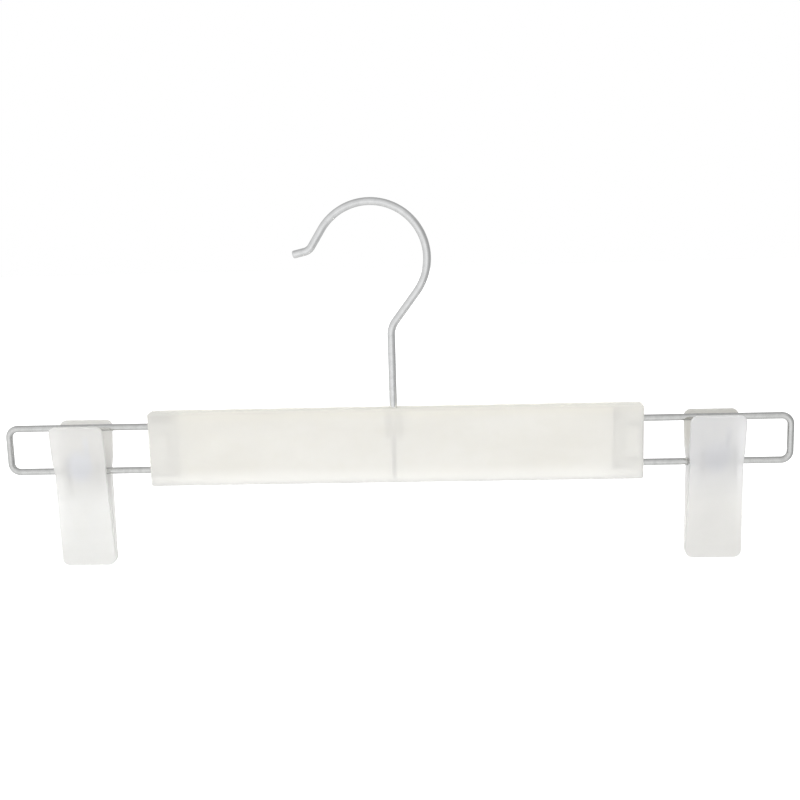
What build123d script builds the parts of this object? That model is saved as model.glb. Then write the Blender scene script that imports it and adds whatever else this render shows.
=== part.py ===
"""Trouser and skirt hanger: a swivel hook, a moulded bar, and two sprung clips that slide on wire loops.

Millimetres and degrees. The origin is the inside top of the hook, where it rests on a rail.
+X runs along the bar to the right, +Y to the rear and +Z up.
"""
from build123d import *
import os
from math import atan, cos, degrees, radians, sin, tan

os.makedirs("parts", exist_ok=True)

# Hook: one bent wire with an upset head that turns in the bar.
hook_wire = 3.4
hook_inner_radius = 23.0
hook_height = 89.0  # top of the bar to the rail seat
shank_offset = 8.2  # swivel axis, to the right of the rail seat
neck_lean = 37.0  # lean of the neck away from the shank
neck_bend_radius = 10.0
crown_sweep = 185.0  # turn of the round part, from the neck over the top
tip_drop = 8.5  # straight run after the round part
tip_turn = 45.0
tip_bend_radius = 5.0
tip_length = 5.4
tip_rounding = 0.8
head_diameter = 6.4
head_height = 2.4

# Bar: two moulded shells that meet on the middle plane.
bar_length = 220.0
bar_height = 33.5
bar_thickness = 9.0
bar_wall = 1.5
bar_edge_radius = 1.2
middle_rib = 1.8
end_block_depth = 13.4
end_block_sill = 4.4  # bottom of the bar to the bottom of the end block
end_pocket_wall = 1.6
socket_width = 8.0
socket_height = 13.0

# Wire loops: one bent rod each, its two ends butting inside the bar.
loop_wire = 3.0
loop_spacing = 20.0  # between the upper and the lower wire
loop_reach = 66.0  # end of the bar to the outside of the loop
loop_grip = 11.2  # end of the bar to the hidden inner leg
loop_bend_radius = 4.0
loop_end_gap = 0.8

# Clips: two jaws on a sleeve that slides on the lower wire.
clip_reach = 31.5  # end of the bar to the middle of a clip
handle_height = 22.0  # pivot to the top of the handle
jaw_drop = 44.0  # pivot to the tip
handle_width = 24.2
waist_width = 23.2
tip_width = 25.0
handle_corner_radius = 3.0
tip_corner_radius = 3.5
shoulder_radius = 6.0
shoulder_height = 5.5
jaw_thickness = 1.9
jaw_edge_radius = 0.5
handle_spread = 9.4  # middle plane to the outside of the handle's top
land_height = 6.0  # flat gripping land at the tip
land_gap = 0.3  # between the two closed lands
land_thickness = 2.3
tooth_depth = 0.5
tooth_pitch = 1.5
tooth_count = 3
knuckle_width = 2.1
knuckle_wall = 1.3
knuckle_rise = 9.0
knuckle_fall = 14.0
sleeve_wall = 0.6
sleeve_lip = 0.8
sleeve_lip_width = 0.35

# Torsion springs: a coil round the sleeve and a leg behind each handle.
spring_wire = 1.2
spring_turns = 5.5
spring_pitch = 1.4
spring_leg = 14.5

# Clearances, each one on the radius or on one side.
running_clearance = 0.1
coil_clearance = 0.2
head_clearance = 0.2
knuckle_gap = 0.25

# Places worked out from the sizes above.
bar_z = -hook_height - bar_height / 2
pivot_z = bar_z - loop_spacing / 2
bar_center = Vector(shank_offset, 0, bar_z)
clip_distance = bar_length / 2 + clip_reach
sleeve_radius = loop_wire / 2 + running_clearance + sleeve_wall
coil_inner_radius = sleeve_radius + coil_clearance
coil_radius = coil_inner_radius + spring_wire / 2
coil_length = spring_turns * spring_pitch + spring_wire
knuckle_bore = sleeve_radius + running_clearance
knuckle_radius = knuckle_bore + knuckle_wall
jaw_clearance = max(coil_inner_radius + spring_wire, knuckle_radius) + coil_clearance
inner_knuckle_x = coil_length / 2 + knuckle_gap + knuckle_width / 2
outer_knuckle_x = inner_knuckle_x + knuckle_width + knuckle_gap
sleeve_half_length = outer_knuckle_x + knuckle_width / 2 + coil_clearance + sleeve_lip_width
handle_lean = degrees(atan((handle_spread - jaw_thickness - jaw_clearance) / handle_height))


def hook_path():
    """Centre line of the hook, from the head up the shank, round the crown and out to the tip."""
    crown_radius = hook_inner_radius + hook_wire / 2
    lean = radians(neck_lean)
    crown_start = (crown_radius * cos(lean), -hook_inner_radius - crown_radius * sin(lean))
    corner_z = crown_start[1] - (crown_start[0] - shank_offset) / tan(lean)
    bend_start_z = corner_z - neck_bend_radius * tan(lean / 2)
    with BuildLine(Plane.XZ) as path:
        shank = Line((shank_offset, head_bottom_z()), (shank_offset, bend_start_z))
        bend = JernArc(shank @ 1, shank % 1, neck_bend_radius, -neck_lean)
        neck = Line(bend @ 1, Vector(crown_start[0], 0, crown_start[1]))
        crown = JernArc(neck @ 1, neck % 1, crown_radius, crown_sweep)
        drop = Line(crown @ 1, crown @ 1 + (crown % 1) * tip_drop)
        flick = JernArc(drop @ 1, drop % 1, tip_bend_radius, -tip_turn)
        Line(flick @ 1, flick @ 1 + (flick % 1) * tip_length)
    return path


def head_bottom_z():
    """Underside of the hook's head, in the lower part of the socket."""
    return -hook_height - socket_height + bar_wall + head_clearance


def make_hook():
    path = hook_path()
    with BuildPart() as hook:
        with BuildSketch(Plane(origin=path.line @ 0, z_dir=path.line % 0)):
            Circle(hook_wire / 2)
        sweep(path=path.line)
        fillet(hook.edges().sort_by(Axis.X)[0], tip_rounding)
        with BuildSketch(Plane.XY.offset(head_bottom_z())):
            with Locations((shank_offset, 0)):
                Circle(head_diameter / 2)
        extrude(amount=head_height)
    return hook


def loop_path(side):
    """Centre line of one wire loop: a rounded rectangle, open at the middle of its hidden inner leg."""
    inner_x = side * (bar_length / 2 - loop_grip)
    outer_x = side * (bar_length / 2 + loop_reach - loop_wire / 2)
    half = loop_spacing / 2
    corners = [
        (inner_x, loop_end_gap / 2),
        (inner_x, half),
        (outer_x, half),
        (outer_x, -half),
        (inner_x, -half),
        (inner_x, -loop_end_gap / 2),
    ]
    with BuildLine(Plane(origin=bar_center, x_dir=(1, 0, 0), z_dir=(0, -1, 0))) as path:
        FilletPolyline(*corners, radius=loop_bend_radius)
    return path


def make_loop(side):
    path = loop_path(side)
    with BuildPart() as loop:
        with BuildSketch(Plane(origin=path.line @ 0, z_dir=path.line % 0)):
            Circle(loop_wire / 2)
        sweep(path=path.line)
    return loop


def make_bar():
    """The whole bar, with its seats for the hook and the loops, before it is parted into two shells."""
    cavity_length = (bar_length - 2 * end_block_depth - middle_rib) / 2
    cavity_thickness = bar_thickness - 2 * bar_wall
    cavity_height = bar_height - 2 * bar_wall
    top_z = bar_z + bar_height / 2
    bottom_z = bar_z - bar_height / 2
    with BuildPart() as bar:
        with Locations(bar_center):
            Box(bar_length, bar_thickness, bar_height)
        fillet(bar.edges(), bar_edge_radius)

        # Two long cavities with a rib between them.
        cavity_shift = (cavity_length + middle_rib) / 2
        with Locations(bar_center + (-cavity_shift, 0, 0), bar_center + (cavity_shift, 0, 0)):
            Box(cavity_length, cavity_thickness, cavity_height, mode=Mode.SUBTRACT)

        # Room under each end block, and the pocket that lightens it between the wires.
        sill_height = end_block_sill - bar_wall
        sill_z = bottom_z + bar_wall + sill_height / 2
        sill_length = end_block_depth - bar_wall
        pocket_length = loop_grip - loop_wire / 2 - running_clearance - 2 * end_pocket_wall
        pocket_height = loop_spacing - loop_wire - 2 * running_clearance - 2 * end_pocket_wall
        for side in (-1, 1):
            sill_x = shank_offset + side * (bar_length / 2 - bar_wall - sill_length / 2)
            pocket_x = shank_offset + side * (bar_length / 2 - end_pocket_wall - pocket_length / 2)
            with Locations((sill_x, 0, sill_z)):
                Box(sill_length, cavity_thickness, sill_height, mode=Mode.SUBTRACT)
            with Locations((pocket_x, 0, bar_z)):
                Box(pocket_length, cavity_thickness, pocket_height, mode=Mode.SUBTRACT)

        # The hook's socket hangs from the top wall.
        with Locations((shank_offset, 0, top_z - socket_height / 2 - bar_wall / 2)):
            Box(socket_width, cavity_thickness, socket_height - bar_wall)
        shank_hole_radius = hook_wire / 2 + running_clearance
        with Locations((shank_offset, 0, top_z)):
            Cylinder(shank_hole_radius, 2 * socket_height - 2 * bar_wall, mode=Mode.SUBTRACT)
        head_room = head_height + 2 * head_clearance
        with Locations((shank_offset, 0, head_bottom_z() + head_height / 2)):
            Cylinder(head_diameter / 2 + head_clearance, head_room, mode=Mode.SUBTRACT)

        # Channels that hold the wire loops.
        for side in (-1, 1):
            path = loop_path(side)
            with BuildSketch(Plane(origin=path.line @ 0, z_dir=path.line % 0)):
                Circle(loop_wire / 2 + running_clearance)
            sweep(path=path.line, mode=Mode.SUBTRACT)
    return bar


def make_bar_shell(bar, keep):
    """One half of the bar, parted on the middle plane."""
    with BuildPart() as shell:
        add(bar.part)
        split(bisect_by=Plane.XZ, keep=keep)
    return shell


def jaw_planes(x, facing):
    """Side and front view planes at a clip's pivot; facing is 1 for a front jaw and -1 for a rear jaw."""
    pivot = (x, 0, pivot_z)
    side_view = Plane(origin=pivot, x_dir=(0, facing, 0), z_dir=(facing, 0, 0))
    front_view = Plane(origin=pivot, x_dir=(facing, 0, 0), z_dir=(0, -facing, 0))
    return side_view, front_view


def make_jaw(x, facing):
    """One jaw: a bent plate with a toothed land, and two knuckles round the sleeve."""
    side_view, front_view = jaw_planes(x, facing)
    land_y = -land_gap / 2
    land_top = land_height - jaw_drop
    with BuildPart() as jaw:
        # Bent plate, seen from the side.
        with BuildSketch(side_view):
            with BuildLine():
                Polyline(
                    (-handle_spread, handle_height),
                    (-jaw_clearance - jaw_thickness, 0),
                    (land_y - land_thickness, land_top),
                    (land_y - land_thickness, -jaw_drop),
                    (land_y, -jaw_drop),
                    (land_y, land_top),
                    (-jaw_clearance, 0),
                    (jaw_thickness - handle_spread, handle_height),
                    close=True,
                )
            make_face()
        extrude(amount=tip_width, both=True)

        # Outline, seen from the front.
        right_side = [
            (handle_width / 2, handle_height),
            (handle_width / 2, shoulder_height),
            (waist_width / 2, 0),
            (tip_width / 2, -jaw_drop),
        ]
        left_side = [(-point_x, point_z) for point_x, point_z in reversed(right_side)]
        with BuildSketch(front_view):
            with BuildLine():
                Polyline(*right_side, *left_side, close=True)
            make_face()
            _, waists, shoulders, _ = vertices().group_by(Axis.Y)
            fillet(waists + shoulders, shoulder_radius)
            fillet(vertices().group_by(Axis.Y)[-1], handle_corner_radius)
            fillet(vertices().group_by(Axis.Y)[0], tip_corner_radius)
        extrude(amount=2 * handle_spread, both=True, mode=Mode.INTERSECT)
        fillet(plate_rim(jaw.edges()), jaw_edge_radius)

        # Grooves that leave the land with teeth.
        with BuildSketch(side_view):
            middle_z = land_height / 2 - jaw_drop
            with Locations((land_y, middle_z)):
                with GridLocations(0, tooth_pitch, 1, tooth_count):
                    RegularPolygon(tooth_depth, 4)
        extrude(amount=tip_width, both=True, mode=Mode.SUBTRACT)

        # Knuckles, each with a web that runs into the plate.
        plate_middle = jaw_clearance + jaw_thickness / 2
        for knuckle_x in (-inner_knuckle_x, outer_knuckle_x):
            with BuildSketch(side_view.offset(knuckle_x)):
                Circle(knuckle_radius)
                with BuildLine():
                    Polyline(
                        (0, knuckle_radius),
                        (0, -knuckle_radius),
                        (knuckle_fall * web_taper() - plate_middle, -knuckle_fall),
                        (-plate_middle, 0),
                        (-plate_middle - knuckle_rise * tan(radians(handle_lean)), knuckle_rise),
                        close=True,
                    )
                make_face()
            extrude(amount=knuckle_width / 2, both=True)
        with BuildSketch(side_view):
            Circle(knuckle_bore)
        extrude(amount=outer_knuckle_x + knuckle_width, both=True, mode=Mode.SUBTRACT)
    return jaw


def plate_rim(edges):
    """Edges round a jaw's two faces, without those through its thickness and those at its bends."""
    through = edges.filter_by(Axis.Y)
    across = edges.filter_by(Axis.X)
    bends = across.filter_by_position(Axis.Z, pivot_z - jaw_drop + 1, pivot_z + handle_height - 1)
    return edges - through - bends


def web_taper():
    """How far the lower part of a jaw nears the middle plane, for each unit down from the pivot."""
    return (jaw_clearance - land_gap / 2) / (jaw_drop - land_height)


def make_sleeve(x):
    """Tube that slides on the lower wire, its two ends rolled over into lips."""
    with BuildPart() as sleeve:
        with BuildSketch(Plane(origin=(x, 0, pivot_z), z_dir=(1, 0, 0))):
            Circle(sleeve_radius)
        extrude(amount=sleeve_half_length, both=True)
        for end in (-1, 1):
            lip_x = x + end * (sleeve_half_length - sleeve_lip_width / 2)
            with BuildSketch(Plane(origin=(lip_x, 0, pivot_z), z_dir=(1, 0, 0))):
                Circle(sleeve_radius + sleeve_lip)
            extrude(amount=sleeve_lip_width / 2, both=True)
        with BuildSketch(Plane(origin=(x, 0, pivot_z), z_dir=(1, 0, 0))):
            Circle(loop_wire / 2 + running_clearance)
        extrude(amount=sleeve_half_length, both=True, mode=Mode.SUBTRACT)
    return sleeve


def make_spring(x):
    """Torsion spring: down behind the rear handle, along the sleeve and up behind the front handle."""
    height = (spring_turns - 2 * handle_lean / 360) * spring_pitch
    coil = Helix(spring_pitch, height, coil_radius, direction=(1, 0, 0), lefthand=True)
    coil = coil.rotate(Axis.X, -90 - handle_lean).moved(Location((x - height / 2, 0, pivot_z)))
    rear_leg = Line(coil @ 0 - (coil % 0) * spring_leg, coil @ 0)
    front_leg = Line(coil @ 1, coil @ 1 + (coil % 1) * spring_leg)
    path = Wire([rear_leg, coil, front_leg])
    with BuildPart() as spring:
        with BuildSketch(Plane(origin=path @ 0, z_dir=path % 0)):
            Circle(spring_wire / 2)
        sweep(path=path, is_frenet=True)
    return spring


bar = make_bar()
pieces = {
    "hook": make_hook(),
    "bar_front_shell": make_bar_shell(bar, Keep.TOP),
    "bar_rear_shell": make_bar_shell(bar, Keep.BOTTOM),
}
for side_name, side in (("left", -1), ("right", 1)):
    clip_x = shank_offset + side * clip_distance
    pieces[f"{side_name}_wire_loop"] = make_loop(side)
    pieces[f"{side_name}_pivot_sleeve"] = make_sleeve(clip_x)
    pieces[f"{side_name}_clip_spring"] = make_spring(clip_x)
    pieces[f"{side_name}_front_jaw"] = make_jaw(clip_x, 1)
    pieces[f"{side_name}_rear_jaw"] = make_jaw(clip_x, -1)

for name, piece in pieces.items():
    piece.part.label = name
    export_step(piece.part, f"parts/{name}.step")
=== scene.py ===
"""Looks of a trouser and skirt hanger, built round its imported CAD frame. Metres, in the CAD's own frame.

The moulded bar, the jaws and the sleeves are the CAD's own meshes with new materials. The hook, the loops
and the springs are swept again along the CAD's centre lines, so that their finish can follow the wire.
"""

import math

import bmesh
import bpy
from mathutils import Matrix, Vector


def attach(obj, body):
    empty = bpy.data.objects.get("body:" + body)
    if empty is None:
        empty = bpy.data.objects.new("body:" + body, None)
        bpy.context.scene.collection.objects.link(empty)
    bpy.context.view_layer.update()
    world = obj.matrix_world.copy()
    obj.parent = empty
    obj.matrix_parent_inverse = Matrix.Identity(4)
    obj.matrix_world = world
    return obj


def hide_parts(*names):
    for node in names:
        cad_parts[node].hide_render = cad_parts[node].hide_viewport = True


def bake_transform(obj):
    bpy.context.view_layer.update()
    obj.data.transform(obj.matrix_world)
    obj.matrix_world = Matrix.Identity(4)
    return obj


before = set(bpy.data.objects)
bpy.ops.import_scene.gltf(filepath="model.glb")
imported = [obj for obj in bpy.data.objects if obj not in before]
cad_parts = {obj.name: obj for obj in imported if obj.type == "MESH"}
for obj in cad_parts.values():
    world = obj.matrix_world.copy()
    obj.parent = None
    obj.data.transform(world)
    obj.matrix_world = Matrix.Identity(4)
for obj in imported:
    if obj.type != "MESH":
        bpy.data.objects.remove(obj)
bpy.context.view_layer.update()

MM = 0.001

# ---------------------------------------------------------------- sizes, as in the CAD
HOOK_WIRE = 3.4 * MM
HOOK_INNER_RADIUS = 23.0 * MM
HOOK_HEIGHT = 89.0 * MM
SHANK_X = 8.2 * MM
NECK_LEAN = math.radians(37.0)
NECK_BEND = 10.0 * MM
CROWN_SWEEP = math.radians(185.0)
TIP_DROP = 8.5 * MM
TIP_TURN = math.radians(45.0)
TIP_BEND = 5.0 * MM
TIP_LENGTH = 5.4 * MM
TIP_ROUNDING = 0.8 * MM
HEAD_RADIUS = 3.2 * MM
HEAD_HEIGHT = 2.4 * MM
HEAD_CLEARANCE = 0.2 * MM
SOCKET_HEIGHT = 13.0 * MM
BAR_LENGTH = 220.0 * MM
BAR_HEIGHT = 33.5 * MM
BAR_WALL = 1.5 * MM
LOOP_WIRE = 3.0 * MM
LOOP_SPACING = 20.0 * MM
LOOP_REACH = 66.0 * MM
LOOP_GRIP = 11.2 * MM
LOOP_BEND = 4.0 * MM
LOOP_END_GAP = 0.8 * MM
CLIP_REACH = 31.5 * MM
HANDLE_HEIGHT = 22.0 * MM
HANDLE_SPREAD = 9.4 * MM
JAW_THICKNESS = 1.9 * MM
JAW_CLEARANCE = 3.8 * MM
SPRING_WIRE = 1.2 * MM
SPRING_TURNS = 5.5
SPRING_PITCH = 1.4 * MM
SPRING_LEG = 14.5 * MM
COIL_RADIUS = 3.0 * MM

# Places worked out from the sizes.
BAR_TOP = -HOOK_HEIGHT
BAR_BOTTOM = BAR_TOP - BAR_HEIGHT
BAR_Z = BAR_TOP - BAR_HEIGHT / 2
PIVOT_Z = BAR_Z - LOOP_SPACING / 2
HEAD_BOTTOM = BAR_TOP - SOCKET_HEIGHT + BAR_WALL + HEAD_CLEARANCE
CLIP_DISTANCE = BAR_LENGTH / 2 + CLIP_REACH
HANDLE_LEAN = math.atan((HANDLE_SPREAD - JAW_THICKNESS - JAW_CLEARANCE) / HANDLE_HEIGHT)
SIDES = {"left": -1, "right": 1}

# ---------------------------------------------------------------- how finely the wires are swept
RUN_STEP = 0.9 * MM
BEND_STEP = math.radians(3.0)
COIL_STEPS = 220
LEG_STEPS = 18
HOOK_SIDES = 36
LOOP_SIDES = 32
SPRING_SIDES = 16
CREASE = math.radians(40)
SWEEP_MAP = "along_and_round"

# ---------------------------------------------------------------- tones, as linear colours
WHITE = (1.0, 1.0, 1.0)
PLASTIC_IOR = 1.49
SEAM_DIRT = (0.55, 0.54, 0.49)
STEEL_BRIGHT = (0.66, 0.67, 0.69)
STEEL_DULL = (0.50, 0.51, 0.54)

# The spring's painted shade on a jaw, as if seen through it: an oval above the pivot and a stripe over the
# leg.
COIL_PATCH_WIDTH = 7.0 * MM
COIL_PATCH_HEIGHT = 9.0 * MM
COIL_PATCH_RISE = 3.4 * MM
LEG_PATCH_X = 4.2 * MM
LEG_PATCH_SHARE = 0.55

# ---------------------------------------------------------------- view and light
CAMERA_YAW = math.radians(2.79)
CAMERA_LIFT = math.radians(10.45)
CAMERA_ROLL = math.radians(-1.59)
CAMERA_DISTANCE = 0.52753
CAMERA_TARGET = Vector((11.24, 0, -85.73)) * MM
CAMERA_SENSOR = 36.0
CAMERA_LENS = 53.4888

FLOOR_REACH = 12.0
FLOOR_Z = -0.9
FLOOR_TONE = (0.93, 0.93, 0.93)
FLOOR_GLOW = 0.7

# Brightness in a direction is a base, plus the direction's share along a slope.
REFLECTED_BASE, REFLECTED_SLOPE = 0.665, (-0.08, -0.15, -0.06)
SCATTERED_BASE, SCATTERED_SLOPE = 1.03, (-0.08, -0.13, -0.17)
# Patches in the reflections: direction, where each begins and is full, and its change of brightness.
REFLECTED_PATCHES = (
    ((-0.15, -0.96, -0.24), 0.86, 0.97, 0.08),
    ((0.0, 0.25, 0.97), 0.55, 0.85, -0.08),
    ((0.94, -0.34, 0.0), 0.60, 0.85, -0.18),
)
# Lamps: name, place, size and watts.
LAMPS = (
    ("key", (-1.0, -1.5, 0.7), (2.6, 1.9), 14.0),
    ("rear", (0.9, 1.7, 0.4), (2.2, 1.6), 9.0),
    ("top", (0.2, 0.3, 1.3), (2.4, 1.6), 8.0),
)
LAMP_AIM = Vector((0.01, 0, -0.09))


# ---------------------------------------------------------------- node helpers
class Nodes:
    """Short ways to build a node tree."""

    def __init__(self, tree):
        self.tree = tree
        tree.nodes.clear()

    def add(self, kind, **settings):
        node = self.tree.nodes.new(kind)
        for key, value in settings.items():
            setattr(node, key, value)
        return node

    def feed(self, target, value):
        """Puts another node's output, a plain value or a colour into an input."""
        if isinstance(value, bpy.types.NodeSocket):
            self.tree.links.new(value, target)
        elif target.type == "RGBA":
            target.default_value = (*value, 1.0)
        else:
            target.default_value = value

    def feed_all(self, node, *values):
        """Fills the node's first inputs in order, and gives its first output."""
        for socket, value in zip(node.inputs, values):
            self.feed(socket, value)
        return node.outputs[0]

    def math(self, operation, *values):
        return self.feed_all(self.add("ShaderNodeMath", operation=operation), *values)

    def ramp(self, value, low, high, to_low=0.0, to_high=1.0):
        """A smooth step: to_low where value is at low, to_high where it is at high."""
        node = self.add("ShaderNodeMapRange", interpolation_type="SMOOTHSTEP")
        return self.feed_all(node, value, low, high, to_low, to_high)


class Shader(Nodes):
    """One material, built round a single Principled node."""

    def __init__(self, name):
        self.material = bpy.data.materials.new(name)
        self.material.use_nodes = True
        super().__init__(self.material.node_tree)
        self.surface = self.add("ShaderNodeBsdfPrincipled")
        self.feed(self.add("ShaderNodeOutputMaterial").inputs["Surface"], self.surface.outputs[0])

    def place(self):
        """Position in the CAD's frame, in metres."""
        return self.add("ShaderNodeTexCoord").outputs["Object"]

    def split(self, vector):
        node = self.add("ShaderNodeSeparateXYZ")
        self.feed_all(node, vector)
        return node.outputs

    def stretch(self, vector, scale):
        return self.feed_all(self.add("ShaderNodeVectorMath", operation="MULTIPLY"), vector, scale)

    def noise(self, vector, scale, detail=2.0, roughness=0.5, distortion=0.0):
        node = self.add("ShaderNodeTexNoise")
        self.feed(node.inputs["Vector"], vector)
        node.inputs["Scale"].default_value = scale
        node.inputs["Detail"].default_value = detail
        node.inputs["Roughness"].default_value = roughness
        node.inputs["Distortion"].default_value = distortion
        return node.outputs[0]

    def blend(self, share, a, b):
        """Colour a where share is 0, b where it is 1."""
        node = self.add("ShaderNodeMix", data_type="RGBA")
        self.feed(node.inputs[0], share)
        self.feed(node.inputs[6], a)
        self.feed(node.inputs[7], b)
        return node.outputs[2]

    def bump(self, height, depth, strength, under=None):
        node = self.add("ShaderNodeBump")
        node.inputs["Strength"].default_value = strength
        node.inputs["Distance"].default_value = depth
        self.feed(node.inputs["Height"], height)
        if under is not None:
            self.feed(node.inputs["Normal"], under)
        return node.outputs[0]

    def finish(self, colour, rough, normal, uniform):
        """Joins up the Principled node, with the values that are the same all over on its own sockets."""
        inputs = self.surface.inputs
        self.feed(inputs["Base Color"], colour)
        self.feed(inputs["Roughness"], rough)
        self.feed(inputs["Normal"], normal)
        for name, value in uniform.items():
            inputs[name].default_value = value
        return self.material


# ---------------------------------------------------------------- layers of painted light and shade on the plastic
def facing_out(s, place):
    """Above 0 on faces that look away from the middle plane, below 0 on those that look towards it."""
    normal = s.add("ShaderNodeTexCoord").outputs["Normal"]
    return s.math("MULTIPLY", s.split(normal)[1], s.split(place)[1])


def painted_light_and_shade_by_height(begin, full, tone, share):
    """Painted light and shade by height: brings in tone from the height begin to the height full."""
    def paint(s, place, colour):
        return s.blend(s.ramp(s.split(place)[2], begin, full, 0.0, share), colour, tone)
    return paint


def bar_end_shade(begin, full, tone, share):
    """Painted shade over the bar's end blocks: brings in tone towards both ends of the bar, from begin to
    full out from its middle.
    """
    def paint(s, place, colour):
        outward = s.math("ABSOLUTE", s.math("SUBTRACT", s.split(place)[0], SHANK_X))
        return s.blend(s.ramp(outward, begin, full, 0.0, share), colour, tone)
    return paint


def spring_shade_behind(clip_x, tone, share):
    """Painted shade of the spring on a jaw's outer face, as if dimly seen through it: a soft oval and a
    fainter stripe beside it.
    """
    def paint(s, place, colour):
        x, y, z = s.split(place)
        across = s.math("SUBTRACT", x, clip_x)
        up = s.math("SUBTRACT", z, PIVOT_Z)
        wide = s.math("DIVIDE", across, COIL_PATCH_WIDTH)
        high = s.math("DIVIDE", s.math("SUBTRACT", up, COIL_PATCH_RISE), COIL_PATCH_HEIGHT)
        squares = s.math("ADD", s.math("MULTIPLY", wide, wide), s.math("MULTIPLY", high, high))
        oval = s.ramp(s.math("SQRT", squares), 1.15, 0.35, 0.0, share)
        leg_x = s.math("MULTIPLY", s.math("SIGN", y), -LEG_PATCH_X)
        off = s.math("ABSOLUTE", s.math("SUBTRACT", across, leg_x))
        length = s.math("MULTIPLY", s.ramp(up, 19.0 * MM, 15.0 * MM), s.ramp(up, 0.0, 6.0 * MM))
        stripe = s.math("MULTIPLY", s.ramp(off, 2.2 * MM, 0.4 * MM, 0.0, LEG_PATCH_SHARE * share), length)
        shaded = s.blend(stripe, s.blend(oval, colour, tone), tone)
        return s.blend(s.ramp(facing_out(s, place), 0.6 * MM, 2.0 * MM), colour, shaded)
    return paint


def jaw_inside_shade(tone):
    """Painted shade on a jaw's inward faces above its pivot, darker at the crest of the handle."""
    crest_shade_tone = tuple(0.88 * channel for channel in tone)

    def paint(s, place, colour):
        height = s.split(place)[2]
        hidden = s.ramp(facing_out(s, place), 0.0, -2.0 * MM)
        upper = s.ramp(height, PIVOT_Z - 4.0 * MM, PIVOT_Z + 12.0 * MM)
        crest = s.ramp(height, PIVOT_Z + 15.0 * MM, PIVOT_Z + 20.0 * MM)
        colour = s.blend(s.math("MULTIPLY", hidden, upper), colour, tone)
        return s.blend(s.math("MULTIPLY", hidden, crest), colour, crest_shade_tone)
    return paint


# ---------------------------------------------------------------- materials
def frosted_plastic(name, tone, shade, rough_range, clear, layers, seam=False):
    """Frosted polypropylene: milky, letting some light through, with eroded grain and faint flow marks."""
    s = Shader(name)
    place = s.place()
    flow = s.noise(
        s.stretch(place, (0.35, 1.0, 1.0)), scale=55.0, detail=3.0, roughness=0.55, distortion=0.4)
    cloud = s.noise(place, scale=160.0)
    grain = s.noise(place, scale=2600.0, roughness=0.6)
    scuff = s.noise(
        s.stretch(place, (9.0, 40.0, 60.0)), scale=14.0, detail=3.0, roughness=0.7, distortion=1.2)

    colour = s.blend(s.ramp(flow, 0.35, 0.68), tone, shade)
    yellowed = (shade[0], shade[1], shade[2] * 0.985)
    colour = s.blend(s.ramp(cloud, 0.45, 0.75, 0.0, 0.35), colour, yellowed)
    # The layers paint light and shade into the colour.
    for paint in layers:
        colour = paint(s, place, colour)

    rough = s.math("ADD", s.ramp(flow, 0.3, 0.7, *rough_range), s.ramp(grain, 0.3, 0.7, -0.03, 0.05))
    rough = s.math("SUBTRACT", rough, s.ramp(scuff, 0.66, 0.74, 0.0, 0.12))
    normal = s.bump(flow, 0.25 * MM, 0.35)
    normal = s.bump(grain, 0.04 * MM, 0.55, normal)
    if seam:
        depth = s.math("ABSOLUTE", s.split(place)[1])
        groove = s.ramp(depth, 0.02 * MM, 0.22 * MM)
        normal = s.bump(groove, 0.12 * MM, 0.8, normal)
        colour = s.blend(groove, s.blend(0.5, colour, SEAM_DIRT), colour)
    return s.finish(colour, rough, normal, {
        "IOR": PLASTIC_IOR,
        "Transmission Weight": clear,
        "Specular IOR Level": 0.45,
    })


def drawn_wire(name, bright, dull, rough_range, radius):
    """Plated drawn wire: fine die lines along its length and mottled plating, placed by its UV map."""
    s = Shader(name)
    along, turn, _ = s.split(s.add("ShaderNodeUVMap", uv_map=SWEEP_MAP).outputs[0])
    angle = s.math("MULTIPLY", turn, 2 * math.pi)
    unrolled = s.feed_all(
        s.add("ShaderNodeCombineXYZ"),
        along,
        s.math("MULTIPLY", s.math("COSINE", angle), radius),
        s.math("MULTIPLY", s.math("SINE", angle), radius),
    )
    lines = s.noise(s.stretch(unrolled, (60.0, 5200.0, 5200.0)), scale=1.0, roughness=0.6)
    mottle = s.noise(unrolled, scale=420.0, detail=3.0, roughness=0.6, distortion=0.5)
    spots = s.noise(unrolled, scale=1500.0, roughness=0.6)

    colour = s.blend(s.ramp(mottle, 0.35, 0.68), bright, dull)
    line_tone = tuple(0.78 * channel for channel in dull)
    colour = s.blend(s.ramp(lines, 0.55, 0.75, 0.0, 0.4), colour, line_tone)
    rough = s.math("ADD", s.ramp(mottle, 0.3, 0.7, *rough_range), s.ramp(spots, 0.55, 0.8, 0.0, 0.06))
    normal = s.bump(lines, 0.03 * MM, 0.35)
    normal = s.bump(mottle, 0.10 * MM, 0.03, normal)
    return s.finish(colour, rough, normal, {"Metallic": 1.0})


def rolled_steel(name):
    """Thin steel tube with fine streaks along X."""
    s = Shader(name)
    place = s.place()
    streaks = s.noise(s.stretch(place, (90.0, 4200.0, 4200.0)), scale=1.0, roughness=0.6)
    mottle = s.noise(place, scale=500.0)
    colour = s.blend(s.ramp(mottle, 0.35, 0.7), STEEL_BRIGHT, STEEL_DULL)
    rough = s.ramp(streaks, 0.3, 0.7, 0.26, 0.44)
    normal = s.bump(streaks, 0.04 * MM, 0.5)
    return s.finish(colour, rough, normal, {"Metallic": 1.0})


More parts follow.
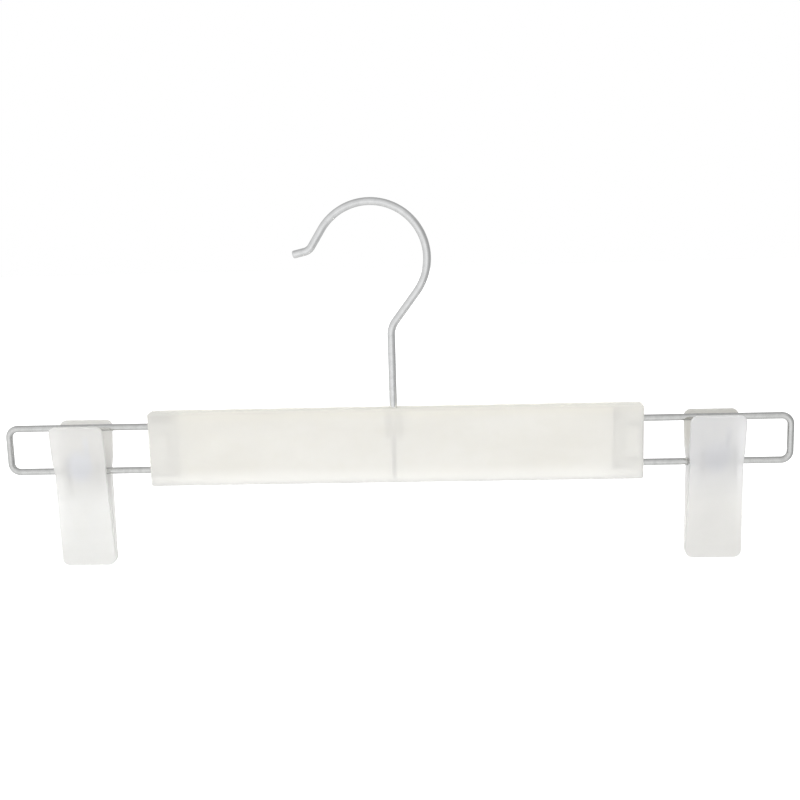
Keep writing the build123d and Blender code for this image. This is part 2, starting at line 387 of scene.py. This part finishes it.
def bar_plastic():
    """The bar, with painted light along its bottom edge and painted shade along its top edge and over its
    end blocks.
    """
    half = BAR_LENGTH / 2
    return frosted_plastic(
        "frosted_bar", (0.898, 0.888, 0.851), (0.865, 0.853, 0.810), rough_range=(0.76, 0.88), clear=0.345,
        layers=[
            # Painted light along the bottom edge, then painted shade along the top edge.
            painted_light_and_shade_by_height(BAR_BOTTOM + 9.0 * MM, BAR_BOTTOM + 1.0 * MM, (0.985, 0.98, 0.95), 0.9),
            painted_light_and_shade_by_height(BAR_TOP - 6.0 * MM, BAR_TOP - 1.5 * MM, (0.88, 0.865, 0.805), 0.8),
            # Painted shade over the end blocks.
            bar_end_shade(half - 22.0 * MM, half - 5.0 * MM, (0.83, 0.825, 0.80), 0.36),
        ],
        seam=True,
    )


def clip_plastic(side_name, tone, shade, handle_shade_tone, spring_shade_tone, inside_shade_tone):
    """One clip's jaws, with painted shade up towards the handle, over the spring and on the inward faces.
    The two clips differ a little in tone.
    """
    clip_x = SHANK_X + SIDES[side_name] * CLIP_DISTANCE
    return frosted_plastic(
        f"frosted_{side_name}_clip", tone, shade, rough_range=(0.48, 0.58), clear=0.42,
        layers=[
            # Painted shade up towards the handle, of the spring behind the jaw, and on the inward faces.
            painted_light_and_shade_by_height(PIVOT_Z - 22.0 * MM, PIVOT_Z + 8.0 * MM, handle_shade_tone, 1.0),
            spring_shade_behind(clip_x, spring_shade_tone, 0.8),
            jaw_inside_shade(inside_shade_tone),
        ],
    )


# ---------------------------------------------------------------- swept wires
def trail(x, z, heading, steps):
    """Points in the plane y = 0 along straight runs ("go", length) and bends ("turn", radius, angle)."""
    points = [Vector((x, 0, z))]
    for kind, *sizes in steps:
        if kind == "go":
            length = sizes[0]
            count = max(1, round(length / RUN_STEP))
            for _ in range(count):
                x += math.cos(heading) * length / count
                z += math.sin(heading) * length / count
                points.append(Vector((x, 0, z)))
        else:
            radius, angle = sizes
            side = math.copysign(1.0, angle)
            centre_x = x - side * radius * math.sin(heading)
            centre_z = z + side * radius * math.cos(heading)
            count = max(4, round(abs(angle) / BEND_STEP))
            for _ in range(count):
                heading += angle / count
                x = centre_x + side * radius * math.sin(heading)
                z = centre_z - side * radius * math.cos(heading)
                points.append(Vector((x, 0, z)))
    return points


def round_last_edge(stations, before, tip, radius, rounding, rings):
    """Puts a quarter-round edge on the end of a sweep at tip, in place of the stations within it."""
    tangent = (tip - before).normalized()
    root = tip - tangent * rounding

    def stays(point):
        """Short of the edge, or so far off that it is on another part of the wire."""
        return (point - root).dot(tangent) < 0 or (point - tip).length > 4 * rounding

    kept = [station for station in stations if stays(station[0])]
    for ring in range(rings + 1):
        a = ring / rings * math.pi / 2
        outward = tangent * rounding * math.sin(a)
        kept.append((root + outward, radius - rounding + rounding * math.cos(a)))
    return kept


def rounded(points, radius, rounding, rings, both_ends=False):
    """(point, radius) stations of a sweep, rounded over at its last end or at both."""
    edge = (radius, rounding, rings)
    stations = round_last_edge([(point, radius) for point in points], points[-2], points[-1], *edge)
    if both_ends:
        stations = round_last_edge(stations[::-1], points[1], points[0], *edge)[::-1]
    return stations


def sweep(name, stations, material, sides):
    """A mesh tube through (point, radius) stations, with length and turn in its UV map."""
    points = [point for point, _ in stations]
    last = len(points) - 1
    tangents = [(points[min(i + 1, last)] - points[max(i - 1, 0)]).normalized() for i in range(last + 1)]
    side = Vector((0, 1, 0))
    if abs(tangents[0].dot(side)) > 0.9:
        side = Vector((1, 0, 0))

    work = bmesh.new()
    rings, lengths, run = [], [], 0.0
    for i, (point, radius) in enumerate(stations):
        side = (side - tangents[i] * side.dot(tangents[i])).normalized()
        other = tangents[i].cross(side)
        run += (point - points[max(i - 1, 0)]).length
        lengths.append(run)
        ring = []
        for k in range(sides):
            a = 2 * math.pi * k / sides
            ring.append(work.verts.new(point + (side * math.cos(a) + other * math.sin(a)) * radius))
        rings.append(ring)

    layer = work.loops.layers.uv.new(SWEEP_MAP)
    for i in range(last):
        for k in range(sides):
            j = (k + 1) % sides
            face = work.faces.new((rings[i][k], rings[i][j], rings[i + 1][j], rings[i + 1][k]))
            face.smooth = True
            corners = ((i, k), (i, k + 1), (i + 1, k + 1), (i + 1, k))
            for loop, (row, turn) in zip(face.loops, corners):
                loop[layer].uv = (lengths[row], turn / sides)
    for row, ring in ((0, rings[0][::-1]), (last, rings[-1])):
        for loop in work.faces.new(ring).loops:
            loop[layer].uv = (lengths[row], 0.0)

    mesh = bpy.data.meshes.new(name)
    work.to_mesh(mesh)
    work.free()
    mesh.materials.append(material)
    mesh.set_sharp_from_angle(angle=CREASE)
    piece = bpy.data.objects.new(name, mesh)
    bpy.context.scene.collection.objects.link(piece)
    return piece


def make_hook(material):
    """The hook's wire, from the upset head in the bar up the shank, round the crown and out to the tip."""
    crown = HOOK_INNER_RADIUS + HOOK_WIRE / 2
    start_x = crown * math.cos(NECK_LEAN)
    start_z = -HOOK_INNER_RADIUS - crown * math.sin(NECK_LEAN)
    corner_z = start_z - (start_x - SHANK_X) / math.tan(NECK_LEAN)
    cut = NECK_BEND * math.tan(NECK_LEAN / 2)
    neck = (start_x - SHANK_X) / math.sin(NECK_LEAN) - cut
    points = trail(SHANK_X, HEAD_BOTTOM, math.pi / 2, [
        ("go", corner_z - cut - HEAD_BOTTOM),
        ("turn", NECK_BEND, -NECK_LEAN),
        ("go", neck),
        ("turn", crown, CROWN_SWEEP),
        ("go", TIP_DROP),
        ("turn", TIP_BEND, -TIP_TURN),
        ("go", TIP_LENGTH),
    ])
    wire = rounded(points, HOOK_WIRE / 2, TIP_ROUNDING, 5)
    head_profile = (
        (0.0, HEAD_RADIUS - 0.3 * MM),
        (0.1 * MM, HEAD_RADIUS - 0.1 * MM),
        (0.3 * MM, HEAD_RADIUS),
        (HEAD_HEIGHT - 0.3 * MM, HEAD_RADIUS),
        (HEAD_HEIGHT - 0.1 * MM, HEAD_RADIUS - 0.1 * MM),
        (HEAD_HEIGHT, HEAD_RADIUS - 0.35 * MM),
        (HEAD_HEIGHT + 0.05 * MM, HOOK_WIRE / 2),
    )
    head = [(Vector((SHANK_X, 0, HEAD_BOTTOM + height)), radius) for height, radius in head_profile]
    above_head = HEAD_BOTTOM + HEAD_HEIGHT + 0.3 * MM
    stations = head + [station for station in wire if station[0].z > above_head]
    piece = sweep("hook_wire", stations, material, HOOK_SIDES)
    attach(piece, "hook")
    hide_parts("hook")


def make_loop(side_name, side, material):
    """One loop, from one end of its rod in the bar all the way round to the other."""
    inner = SHANK_X + side * (BAR_LENGTH / 2 - LOOP_GRIP)
    outer = SHANK_X + side * (BAR_LENGTH / 2 + LOOP_REACH - LOOP_WIRE / 2)
    bend = ("turn", LOOP_BEND, -side * math.pi / 2)
    inner_leg = ("go", LOOP_SPACING / 2 - LOOP_BEND - LOOP_END_GAP / 2)
    long_run = ("go", abs(outer - inner) - 2 * LOOP_BEND)
    outer_leg = ("go", LOOP_SPACING - 2 * LOOP_BEND)
    points = trail(inner, BAR_Z + LOOP_END_GAP / 2, math.pi / 2, [
        inner_leg, bend, long_run, bend, outer_leg, bend, long_run, bend, inner_leg,
    ])
    stations = rounded(points, LOOP_WIRE / 2, 0.2 * MM, 2, both_ends=True)
    piece = sweep(f"{side_name}_loop_wire", stations, material, LOOP_SIDES)
    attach(piece, "bar")
    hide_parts(f"{side_name}_wire_loop")


def make_spring(side_name, side, material):
    """Each spring in two halves, so that its coil can wind as the handles close."""
    x = SHANK_X + side * CLIP_DISTANCE
    turns = SPRING_TURNS - HANDLE_LEAN / math.pi
    length = turns * SPRING_PITCH
    slope = SPRING_PITCH / (2 * math.pi * COIL_RADIUS)
    centre = Vector((x, 0, PIVOT_Z))

    def on_coil(share):
        """share 0 is the rear end, 1 the front end: from the rear down, under and up in front."""
        a = -HANDLE_LEAN - share * turns * 2 * math.pi
        offset = Vector(((share - 0.5) * length, COIL_RADIUS * math.cos(a), COIL_RADIUS * math.sin(a)))
        return centre + offset

    coil = [on_coil(i / COIL_STEPS) for i in range(COIL_STEPS + 1)]
    halves = (
        ("front", -1, coil[COIL_STEPS // 2:]),
        ("rear", 1, coil[:COIL_STEPS // 2 + 1][::-1]),
    )
    for half, facing, winding in halves:
        root = winding[-1]
        rise = Vector((facing * -slope, facing * math.sin(HANDLE_LEAN), math.cos(HANDLE_LEAN))).normalized()
        leg = [root + rise * SPRING_LEG * k / LEG_STEPS for k in range(1, LEG_STEPS + 1)]
        stations = rounded(winding + leg, SPRING_WIRE / 2, 0.15 * MM, 2)
        piece = sweep(f"{side_name}_spring_{half}", stations, material, SPRING_SIDES)
        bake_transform(piece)
        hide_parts(f"{side_name}_clip_spring")


# ---------------------------------------------------------------- the pieces and their finishes
def finish_cad_nodes():
    """Gives the CAD's own meshes their materials."""
    bar = bar_plastic()
    # Each clip's handle, spring and inside tones are painted shade.
    clips = {
        "left": clip_plastic(
            "left", (0.935, 0.935, 0.92), (0.905, 0.905, 0.888),
            handle_shade_tone=(0.835, 0.83, 0.815),
            spring_shade_tone=(0.825, 0.838, 0.875),
            inside_shade_tone=(0.85, 0.845, 0.815),
        ),
        "right": clip_plastic(
            "right", (0.885, 0.88, 0.86), (0.86, 0.855, 0.835),
            handle_shade_tone=(0.81, 0.81, 0.815),
            spring_shade_tone=(0.76, 0.765, 0.79),
            inside_shade_tone=(0.70, 0.69, 0.65),
        ),
    }
    sleeve = rolled_steel("sleeve_steel")
    for node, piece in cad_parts.items():
        if node.startswith("bar_"):
            finish = bar
        elif node.endswith("_jaw"):
            finish = clips[node.split("_")[0]]
        elif node.endswith("_sleeve"):
            finish = sleeve
        else:
            continue
        for slot in piece.material_slots:
            slot.material = finish


def make_wires():
    """Sweeps the hook, the loops and the springs in their plated and drawn finishes."""
    hook_finish = drawn_wire(
        "plated_hook_wire", (0.87, 0.877, 0.88), (0.80, 0.807, 0.81), (0.08, 0.15), HOOK_WIRE / 2)
    loop_finish = drawn_wire(
        "plated_loop_wire", (0.76, 0.765, 0.758), (0.69, 0.695, 0.686), (0.07, 0.14), LOOP_WIRE / 2)
    spring_finish = drawn_wire(
        "spring_wire", (0.52, 0.54, 0.58), (0.38, 0.40, 0.44), (0.22, 0.34), SPRING_WIRE / 2)
    make_hook(hook_finish)
    for side_name, side in SIDES.items():
        make_loop(side_name, side, loop_finish)
        make_spring(side_name, side, spring_finish)


# ---------------------------------------------------------------- camera
def place_camera():
    """Looks at the target from CAMERA_DISTANCE away, turned, lifted and rolled."""
    away = Vector((
        math.sin(CAMERA_YAW) * math.cos(CAMERA_LIFT),
        -math.cos(CAMERA_YAW) * math.cos(CAMERA_LIFT),
        math.sin(CAMERA_LIFT),
    ))
    right = Vector((math.cos(CAMERA_YAW), math.sin(CAMERA_YAW), 0))
    up = right.cross(-away)
    rolled_right = right * math.cos(CAMERA_ROLL) + up * math.sin(CAMERA_ROLL)
    rolled_up = up * math.cos(CAMERA_ROLL) - right * math.sin(CAMERA_ROLL)
    data = bpy.data.cameras.new("camera")
    data.sensor_width = CAMERA_SENSOR
    data.lens = CAMERA_LENS
    data.clip_start, data.clip_end = 0.01, 60.0
    camera = bpy.data.objects.new("camera", data)
    bpy.context.scene.collection.objects.link(camera)
    basis = Matrix((rolled_right, rolled_up, away)).transposed().to_4x4()
    camera.matrix_world = Matrix.Translation(CAMERA_TARGET + away * CAMERA_DISTANCE) @ basis
    bpy.context.scene.camera = camera


# ---------------------------------------------------------------- studio
def place_floor():
    """A wide pale floor, well below the hanging object, that neither lights it nor shows in its gloss."""
    corners = ((-1, -1), (1, -1), (1, 1), (-1, 1))
    mesh = bpy.data.meshes.new("floor")
    mesh.from_pydata([(x * FLOOR_REACH, y * FLOOR_REACH, FLOOR_Z) for x, y in corners], [], [(0, 1, 2, 3)])
    floor = bpy.data.objects.new("floor", mesh)
    bpy.context.scene.collection.objects.link(floor)
    s = Shader("pale_floor")
    inputs = s.surface.inputs
    s.feed(inputs["Base Color"], FLOOR_TONE)
    s.feed(inputs["Roughness"], 0.9)
    s.feed(inputs["Emission Color"], WHITE)
    s.feed(inputs["Emission Strength"], FLOOR_GLOW)
    mesh.materials.append(s.material)
    floor.visible_glossy = False
    floor.visible_diffuse = False


def light_world():
    """White behind the object and through it, softer brightness in its reflections and in its light."""
    world = bpy.data.worlds.new("studio")
    bpy.context.scene.world = world
    world.use_nodes = True
    n = Nodes(world.node_tree)
    direction = n.add("ShaderNodeTexCoord").outputs["Generated"]
    ray = n.add("ShaderNodeLightPath").outputs

    def along(vector):
        node = n.add("ShaderNodeVectorMath", operation="DOT_PRODUCT")
        n.feed_all(node, direction, vector)
        return node.outputs["Value"]

    reflected = n.math("ADD", along(REFLECTED_SLOPE), REFLECTED_BASE)
    for towards, begin, full, change in REFLECTED_PATCHES:
        reflected = n.math("ADD", reflected, n.ramp(along(towards), begin, full, 0.0, change))
    scattered = n.math("ADD", along(SCATTERED_SLOPE), SCATTERED_BASE)
    level = n.add("ShaderNodeMix")
    n.feed(level.inputs[0], ray["Is Diffuse Ray"])
    n.feed(level.inputs[2], reflected)
    n.feed(level.inputs[3], scattered)

    studio = n.feed_all(n.add("ShaderNodeBackground"), WHITE, level.outputs[0])
    backdrop = n.feed_all(n.add("ShaderNodeBackground"), WHITE)
    seen = n.math("MAXIMUM", ray["Is Camera Ray"], ray["Is Transmission Ray"])
    both = n.feed_all(n.add("ShaderNodeMixShader"), seen, studio, backdrop)
    n.feed(n.add("ShaderNodeOutputWorld").inputs["Surface"], both)


def place_lamp(name, where, size, watts):
    """A soft rectangular lamp aimed at the hanger, kept out of its reflections."""
    data = bpy.data.lights.new(name, "AREA")
    data.shape = "RECTANGLE"
    data.size, data.size_y = size
    data.energy = watts
    lamp = bpy.data.objects.new(name, data)
    bpy.context.scene.collection.objects.link(lamp)
    lamp.location = where
    lamp.rotation_euler = (LAMP_AIM - Vector(where)).to_track_quat("-Z", "Y").to_euler()
    lamp.visible_glossy = False


place_camera()
finish_cad_nodes()
make_wires()
place_floor()
light_world()
for lamp_facts in LAMPS:
    place_lamp(*lamp_facts)
bpy.context.scene.view_settings.view_transform = "Standard"
